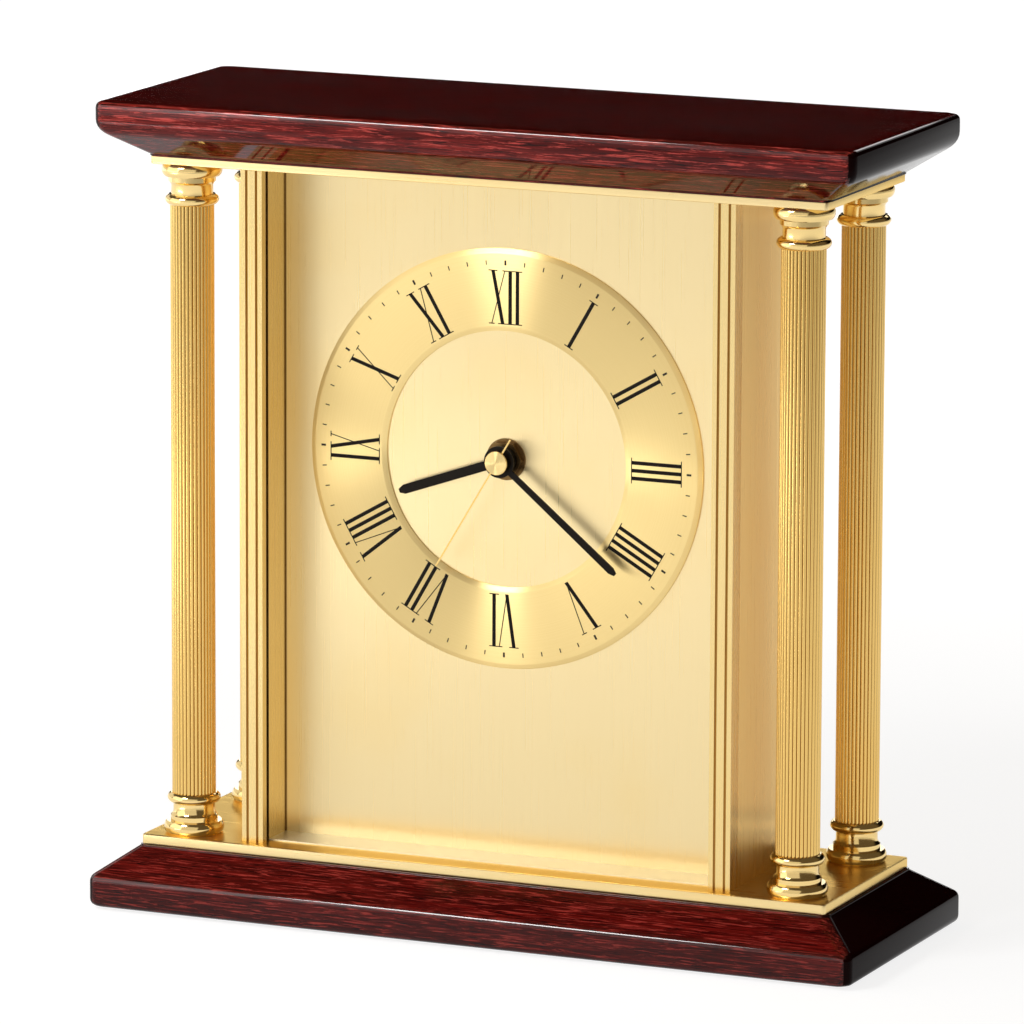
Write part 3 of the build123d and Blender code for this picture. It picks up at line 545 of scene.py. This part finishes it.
# Chapter ring. A ring of brass turned on the lathe with a bevel along both edges, its face spun so that the fine
# circles catch the light in fans.
dial_height = 140.1
dial_centre = (0, 0, dial_height)
spun_brass, tree, shader = new_material("spun brass", Metallic=1.0, Anisotropic=1.0, Anisotropic_Rotation=0.25)
place = add_node(tree, "ShaderNodeTexCoord").outputs["Object"]
from_centre = add_node(
    tree, "ShaderNodeVectorMath", {"operation": "SUBTRACT"}, i0=place, i1=Vector(dial_centre) * mm
)
flat = add_node(tree, "ShaderNodeVectorMath", {"operation": "MULTIPLY"}, i0=from_centre.outputs[0], i1=(1, 0, 1))
radius = add_node(tree, "ShaderNodeVectorMath", {"operation": "LENGTH"}, i0=flat.outputs[0]).outputs["Value"]
circles = add_node(
    tree, "ShaderNodeTexNoise", {"noise_dimensions": "1D"}, W=radius, Scale=3200, Detail=3
).outputs["Fac"]
tree.links.new(
    mixed_colour(tree, circles, (0.87, 0.65, 0.27, 1), (0.93, 0.72, 0.33, 1)), shader.inputs["Base Color"]
)
tree.links.new(spread_over(tree, circles, 0.3, 0.7, 0.31, 0.37), shader.inputs["Roughness"])
round_the_middle = add_node(tree, "ShaderNodeTangent", {"direction_type": "RADIAL", "axis": "Y"})
tree.links.new(round_the_middle.outputs[0], shader.inputs["Tangent"])

ring_profile = [
    (38.0, -13.5), (38.0, -13.9), (39.4, -14.65), (39.6, -14.7), (60.7, -14.7), (60.9, -14.65), (62.3, -13.9),
    (62.3, -13.5), (38.0, -13.5),
]
ring = bmesh.new()
turn_up(ring, ring_profile, dial_centre, "Y", segments=256)
add_piece("chapter.ring", ring, spun_brass, "spun_brass", "clock", "chapter_ring", crisp=20)


# Numerals and minute track. Black enamel printed on the ring: upright Roman numerals with their heads outward,
# thick and thin strokes with hairline feet, and a dash for each minute, a bold one at the hours.
enamel = mottled(
    "black enamel", (0.003, 0.0015, 0.0005), (0.010, 0.006, 0.003), (1500, 1500, 1500), 3, (0.42, 0.55),
    Specular_IOR_Level=0.14,
)
foot, head = 40.0, 55.9
thick, thin = 1.1, 0.28
print_back, print_front, layer = -14.68, -14.74, 0.001

# for each letter: its strokes as (place at the foot, place at the head, width), the spans of the hairlines at its
# head and at its foot, and the step to the next letter
letter_shapes = {
    "I": ([(0, 0, thick)], [(-1.5, 1.5)], [(-1.5, 1.5)], 2.3),
    "V": ([(2.35, 0, thick), (2.35, 4.7, thin)], [(-1.5, 1.5), (3.7, 5.4)], [], 6.4),
    "X": ([(3.5, 0.3, thick), (0, 4.1, thin)], [(-1.1, 1.75), (3.3, 4.9)], [(-0.9, 0.9), (2.05, 4.95)], 5.8),
}


def stroke(bottom, top, width):
    """One stroke of a numeral from its foot to its head, in the numeral's own upright frame."""
    half = width / 2
    return [(bottom - half, foot), (bottom + half, foot), (top + half, head), (top - half, head)]


def hairline(start, end, low):
    return [(start, low), (end, low), (end, low + thin), (start, low + thin)]


def numeral(letters):
    """The strokes of a Roman numeral, letter by letter, and then its hairlines, centred on its hour line."""
    strokes, heads, feet = [], [], []
    at = 0.0
    for letter in letters:
        lines, head_spans, foot_spans, step = letter_shapes[letter]
        strokes += [stroke(at + bottom, at + top, width) for bottom, top, width in lines]
        heads += [(at + start, at + end) for start, end in head_spans]
        feet += [(at + start, at + end) for start, end in foot_spans]
        at += step
    strokes += [hairline(start, end, head - thin) for start, end in heads]
    strokes += [hairline(start, end, foot) for start, end in feet]
    reach = [x for outline in strokes for x, z in outline]
    middle = (min(reach) + max(reach)) / 2
    return [[(x - middle, z) for x, z in outline] for outline in strokes]


def prism(shape, outline, back, front):
    """A thin flat plate of this outline, its sides straight from back to front."""
    rear = [shape.verts.new((x * mm, back * mm, z * mm)) for x, z in outline]
    face = [shape.verts.new((x * mm, front * mm, z * mm)) for x, z in outline]
    shape.faces.new(rear)
    shape.faces.new(face[::-1])
    for k in range(len(outline)):
        n = (k + 1) % len(outline)
        shape.faces.new((rear[k], rear[n], face[n], face[k]))


numerals = bmesh.new()
letters_of_hours = ("I", "II", "III", "IIII", "V", "VI", "VII", "VIII", "IX", "X", "XI", "XII")
for hour, letters in enumerate(letters_of_hours, 1):
    turn = math.radians(30 * hour)
    for level, outline in enumerate(numeral(letters)):
        turned = [
            (x * math.cos(turn) + z * math.sin(turn), dial_height + z * math.cos(turn) - x * math.sin(turn))
            for x, z in outline
        ]
        prism(numerals, turned, print_back, print_front - layer * level)
add_piece("numerals", numerals, enamel, "black_hands", "clock")

track, given, results = new_group(
    "GeometryNodeTree", "minute track",
    {
        "Dashes": "Int", "Bold Every": "Int", "Radius": "Float", "Middle": "Vector", "Dash": "Vector",
        "Bold Dash": "Vector", "Finish": "Material",
    },
    {"Geometry": "Geometry"},
)
index = add_node(track, "GeometryNodeInputIndex").outputs[0]
turn = worked(track, "MULTIPLY", worked(track, "DIVIDE", index, given["Dashes"]), 2 * math.pi)
out_x = worked(track, "MULTIPLY", worked(track, "SINE", turn), given["Radius"])
out_z = worked(track, "MULTIPLY", worked(track, "COSINE", turn), given["Radius"])
offset = add_node(track, "ShaderNodeCombineXYZ", X=out_x, Z=out_z)
spot = add_node(track, "ShaderNodeVectorMath", {"operation": "ADD"}, i0=offset.outputs[0], i1=given["Middle"])
spots = add_node(track, "GeometryNodePoints", Count=given["Dashes"], Position=spot.outputs[0])
facing = add_node(track, "ShaderNodeCombineXYZ", Y=turn)
past_the_hour = worked(track, "MODULO", index, given["Bold Every"])
hourly = add_node(
    track, "FunctionNodeCompare", {"data_type": "INT", "operation": "EQUAL"}, i2=past_the_hour, i3=0
).outputs[0]
between = add_node(track, "FunctionNodeBooleanMath", {"operation": "NOT"}, i0=hourly).outputs[0]
dashes = add_node(track, "GeometryNodeJoinGeometry")
for chosen, size in ((hourly, given["Bold Dash"]), (between, given["Dash"])):
    dash = add_node(track, "GeometryNodeMeshCube", Size=size)
    laid = add_node(
        track, "GeometryNodeInstanceOnPoints", Points=spots.outputs[0], Selection=chosen, Instance=dash.outputs[0],
        Rotation=facing.outputs[0],
    )
    track.links.new(laid.outputs[0], dashes.inputs[0])
whole = add_node(track, "GeometryNodeRealizeInstances", Geometry=dashes.outputs[0])
coated = add_node(track, "GeometryNodeSetMaterial", Geometry=whole.outputs[0], Material=given["Finish"])
track.links.new(coated.outputs[0], results["Geometry"])

soft_enamel = mottled(
    "thin enamel", (0.016, 0.010, 0.004), (0.03, 0.019, 0.008), (1500, 1500, 1500), 3, (0.42, 0.55),
    Specular_IOR_Level=0.3,
)
dash_depth, dash_middle = 0.06, (print_back + print_front) / 2
values = {
    "Dashes": 60, "Bold Every": 5, "Radius": 58.15 * mm, "Middle": (0, dash_middle * mm, dial_height * mm),
    "Dash": (0.32 * mm, dash_depth * mm, 1.3 * mm), "Bold Dash": (0.62 * mm, dash_depth * mm, 1.45 * mm),
    "Finish": soft_enamel,
}
add_grown("minute.track", grown_mesh("track", track, values), soft_enamel, "black_hands", "clock")


# Nut and washer. A brass hexagon nut over a washer, both coloured dark brown so that they sink back behind the hands,
# on the threaded bush that clamps the movement behind the dial; the minute arbor is left bright.
dark_brown_brass = brass("dark brown brass", (0.20, 0.12, 0.045), (0.28, 0.38), (700, 700, 700), 0.02)
dress(dark_brown_brass, "hand_washer", "hand_nut")
dress(polished_brass, "minute_arbor")


# Hour and minute hands. Stamped from thin aluminium with pointed ends and round hubs, painted satin black, and
# pressed on: the hour hand on the hour wheel's tube, the minute hand on the arbor.
black_paint = mottled(
    "satin black paint", (0.006, 0.0035, 0.002), (0.013, 0.009, 0.005), (900, 900, 900), 4, (0.30, 0.42),
    Specular_IOR_Level=0.12,
)
dress(black_paint, "hour_hand", "minute_hand")


# Second hand. A gilt needle as thin as a hair with a small cap over the hubs, pressed on the second wheel's shaft;
# the cap's face is spun like the ring's.
gilt = brass("gilt needle", (0.86, 0.60, 0.22), (0.16, 0.26), (900, 900, 900), 0.03)
dress(gilt, "second_hand")
cap_profile = [(0, -21.63), (3.3, -21.3), (3.47, -21.15), (3.47, -20.9), (0, -20.9)]
cap_face = bmesh.new()
turn_up(cap_face, cap_profile, dial_centre, "Y", segments=64)
add_piece("second.cap", cap_face, spun_brass, "spun_brass", "second", crisp=20)


# Rear door. A sheet of brushed brass with a sunk panel, hung on two pivot pins in the plates, with a turned knob
# to pull it open by.
dress(panel_brass, "rear_door")
dress(polished_brass, "door_pivots", "door_knob")


# Quartz movement. A housing of black moulded plastic with white moulded wheels, a copper coil on its stator, a
# small circuit board with its crystal, and one cell between two spring contacts.
def moulded_plastic(name, dark, light, rough_span):
    return mottled(
        name, dark, light, (1800, 1800, 1800), 4, rough_span, bump=(0.15, 0.05), Specular_IOR_Level=0.45
    )


dress(
    moulded_plastic("black housing", (0.012, 0.012, 0.012), (0.024, 0.024, 0.025), (0.42, 0.55)),
    "movement_front", "movement_case", "setting_knob",
)
dress(
    moulded_plastic("white wheels", (0.70, 0.69, 0.63), (0.80, 0.79, 0.74), (0.38, 0.48)),
    "hour_wheel", "motion_wheel", "centre_wheel", "third_wheel", "second_wheel", "intermediate_wheel", "rotor",
)
dress(zinc, "stator")
nickel = mottled(
    "nickel plate", (0.60, 0.59, 0.56), (0.74, 0.73, 0.70), (500, 500, 500), 3, (0.14, 0.24), Metallic=1.0
)
dress(nickel, "contact_positive", "contact_negative", "crystal")
copper = brass("enamelled wire", (0.62, 0.24, 0.10), (0.30, 0.42), (90, 5200, 90), 0.5)
dress(copper, "coil")
dress(moulded_plastic("board", (0.20, 0.13, 0.035), (0.30, 0.21, 0.06), (0.32, 0.45)), "circuit_board")
dress(moulded_plastic("cell sleeve", (0.05, 0.06, 0.085), (0.075, 0.09, 0.12), (0.22, 0.32)), "cell")


# Studio. A white table top that fills the view and dims far to the right and in front, soft boxes to the left, in
# front and behind, a pool of light on the table, and a long lens from the right, a little above the clock.
table_reach = 40
floor_shape = bmesh.new()
bmesh.ops.create_grid(floor_shape, x_segments=1, y_segments=1, size=table_reach)
floor_mesh = bpy.data.meshes.new("table.top")
floor_shape.to_mesh(floor_mesh)
floor_shape.free()
set_up("table.top", floor_mesh)
paper = bpy.data.materials.new("white paper")
paper.use_nodes = True
tree = paper.node_tree
tree.nodes.clear()
seen = add_node(tree, "ShaderNodeLightPath")
mirrored = worked(tree, "ADD", seen.outputs["Is Camera Ray"], seen.outputs["Is Glossy Ray"])
shown = worked(tree, "ADD", mirrored, seen.outputs["Is Transmission Ray"])
place = add_node(tree, "ShaderNodeTexCoord").outputs["Object"]
paper_tone = None
for direction, near, far, darkest in (
    ((0.75, -0.66, 0), 0.36, 1.2, 0.45), ((0.85, 0.53, 0), 0.75, 2.2, 0.6), ((-0.39, -0.92, 0), 0.5, 1.2, 0.8)
):
    away = add_node(tree, "ShaderNodeVectorMath", {"operation": "DOT_PRODUCT"}, i0=place, i1=direction)
    fade = spread_over(tree, away.outputs["Value"], near, far, 1.0, darkest)
    paper_tone = worked(tree, "MINIMUM", paper_tone, fade) if paper_tone else fade
paper_white = 0.32
lit = add_node(tree, "ShaderNodeBsdfDiffuse", Color=worked(tree, "MULTIPLY", paper_tone, paper_white))
distance = add_node(tree, "ShaderNodeVectorMath", {"operation": "LENGTH"}, i0=place).outputs["Value"]
whiteness = spread_over(tree, distance, 0.25, 0.9, 0.84, 0.99)
glow_level = worked(tree, "MULTIPLY", worked(tree, "MULTIPLY", shown, paper_tone), whiteness)
glow = add_node(tree, "ShaderNodeEmission", Color=(1, 1, 1, 1), Strength=glow_level)
both = add_node(tree, "ShaderNodeAddShader", i0=lit.outputs[0], i1=glow.outputs[0])
add_node(tree, "ShaderNodeOutputMaterial", Surface=both.outputs[0])
floor_mesh.materials.append(paper)

studio = bpy.data.worlds.new("studio")
studio.use_nodes = True
tree = studio.node_tree
tree.nodes.clear()
way = add_node(tree, "ShaderNodeTexCoord").outputs["Generated"]
towards = add_node(tree, "ShaderNodeSeparateXYZ", Vector=way).outputs
horizon_low, horizon_high, horizon_light = 0.01, 0.05, 0.9
room_light, back_wall_light = 0.12, 0.003
room = spread_over(tree, towards["Y"], 0.5, 0.8, room_light, back_wall_light)
horizon = spread_over(tree, towards["Z"], horizon_low, horizon_high, horizon_light, 0.0)
upward = spread_over(tree, towards["Z"], horizon_low, horizon_high)
walls = mixed_colour(tree, upward, (1, 1, 1, 1), (1, 0.8, 0.55, 1))
sky = add_node(tree, "ShaderNodeBackground", Color=walls, Strength=worked(tree, "ADD", horizon, room))
add_node(tree, "ShaderNodeOutputWorld", Surface=sky.outputs[0])
bpy.context.scene.world = studio

clock_middle = Vector((0, 0, 0.13))
for name, place, width, height, power in (
    ("left.box", (-0.85, -0.55, 0.45), 1.0, 0.8, 3.6),
    ("key.strip", (-0.42, -0.70, 0.86), 0.32, 0.2, 4.4),
    ("front.panel", (0.0, -1.50, 0.60), 2.2, 1.1, 5.2),
    ("side.panel", (-1.1, 0.35, 0.35), 0.9, 0.7, 1.6),
    ("low.strip", (-0.47, -0.43, 0.013), 0.28, 0.02, 0.11),
    ("back.strip", (-0.40, 1.05, 0.25), 0.9, 0.12, 0.9),
    ("crown.strip", (0.1, 1.0, 0.69), 0.5, 0.16, 0.5),
):
    lamp = bpy.data.lights.new(name, "AREA")
    lamp.shape = "RECTANGLE"
    lamp.size, lamp.size_y = width, height
    lamp.energy = power
    soft_box = set_up(name, lamp)
    soft_box.location = place
    soft_box.rotation_euler = (Vector(place) - clock_middle).to_track_quat("Z", "Y").to_euler()
    soft_box.visible_camera = False

pool = bpy.data.lights.new("table.pool", "SPOT")
pool.energy = 90
pool.spot_size = math.radians(36)
pool.spot_blend = 0.9
pool.shadow_soft_size = 0.1
set_up("table.pool", pool).location = (-0.58, -0.44, 0.9)

yaw, pitch, roll = math.radians(23.5712), math.radians(10.9406), math.radians(0.2264)
camera_place = Vector((965.61, -2222.42, 590.4)) * mm
picture_width, focal_length_in_pixels, sensor_width = 1024, 8405.2, 36
ahead = Vector((-math.sin(yaw) * math.cos(pitch), math.cos(yaw) * math.cos(pitch), -math.sin(pitch)))
right = Vector((math.cos(yaw), math.sin(yaw), 0))
up = right.cross(ahead)
turned_right = right * math.cos(roll) + up * math.sin(roll)
turned_up = up * math.cos(roll) - right * math.sin(roll)
lens = bpy.data.cameras.new("camera")
lens.lens = sensor_width * focal_length_in_pixels / picture_width
lens.sensor_width = sensor_width
lens.clip_end = 100
camera = set_up("camera", lens)
aim = Matrix((turned_right, turned_up, -ahead)).transposed().to_4x4()
camera.matrix_world = Matrix.Translation(camera_place) @ aim
bpy.context.scene.camera = camera
bpy.context.scene.view_settings.view_transform = "Standard"
